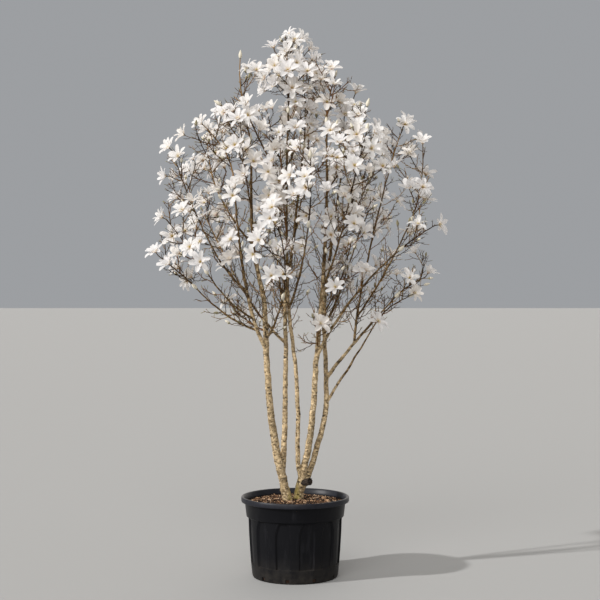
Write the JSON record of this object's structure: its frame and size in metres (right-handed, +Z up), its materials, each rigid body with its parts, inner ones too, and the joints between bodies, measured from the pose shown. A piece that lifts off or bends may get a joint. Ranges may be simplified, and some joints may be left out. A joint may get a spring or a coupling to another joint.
{
  "type": "potted magnolia tree",
  "caption": "Multi-stemmed magnolia in a round ribbed nursery pot, bare of leaves, with its upright egg-shaped crown in full white flower.",
  "frame": {"origin": "middle of the pot's flat underside, at ground level", "axes": "+Z up along the pot's axis, -Y towards the side the picture was taken from, +X to the right as seen from there"},
  "size_m": [1.421, 1.2514, 2.6448],
  "materials": {
    "pot": "satin black",
    "mulch": "rough",
    "bark": "rough",
    "bough_bark": "rough",
    "blossom": "matte"
  },
  "bodies": {
    "root": {"pot": "pot", "mulch": "mulch", "stem_left": "bark", "stem_right_inner": "bark", "stem_left_inner": "bark", "stem_middle": "bark", "stem_right": "bark", "bough_left": "bough_bark", "bough_left_low": "bough_bark", "bough_left_front": "bough_bark", "bough_left_mid": "bough_bark", "bough_front_left": "bough_bark", "bough_back_left": "bough_bark", "bough_back_left_low": "bough_bark", "bough_back": "bough_bark", "bough_back_high": "bough_bark", "bough_front": "bough_bark", "bough_top_left": "bough_bark", "bough_right_front": "bough_bark", "bough_front_right": "bough_bark", "bough_right": "bough_bark", "bough_right_high": "bough_bark", "bough_right_mid": "bough_bark", "bough_right_low": "bough_bark", "bough_back_right": "bough_bark", "twigs_crown_tip": "blossom", "twigs_left_top": "blossom", "twigs_back_top": "blossom", "twigs_right_inner_top": "blossom", "twigs_right_top": "blossom", "twigs_left": "blossom", "twigs_left_low": "blossom", "twigs_left_front": "blossom", "twigs_left_mid": "blossom", "twigs_front_left": "blossom", "twigs_back_left": "blossom", "twigs_back_left_low": "blossom", "twigs_back": "blossom", "twigs_back_high": "blossom", "twigs_front": "blossom", "twigs_top_left": "blossom", "twigs_right_front": "blossom", "twigs_front_right": "blossom", "twigs_right": "blossom", "twigs_right_high": "blossom", "twigs_right_mid": "blossom", "twigs_right_low": "blossom", "twigs_back_right": "blossom", "twigs_left_front_high": "blossom", "twigs_crown_front": "blossom", "twigs_right_inner_high": "blossom", "twigs_right_inner_mid": "blossom", "twigs_right_back": "blossom", "twigs_crown_back": "blossom", "twigs_low_left": "blossom", "twigs_low_right": "blossom", "twigs_low_front": "blossom"}
  },
  "joints": []
}
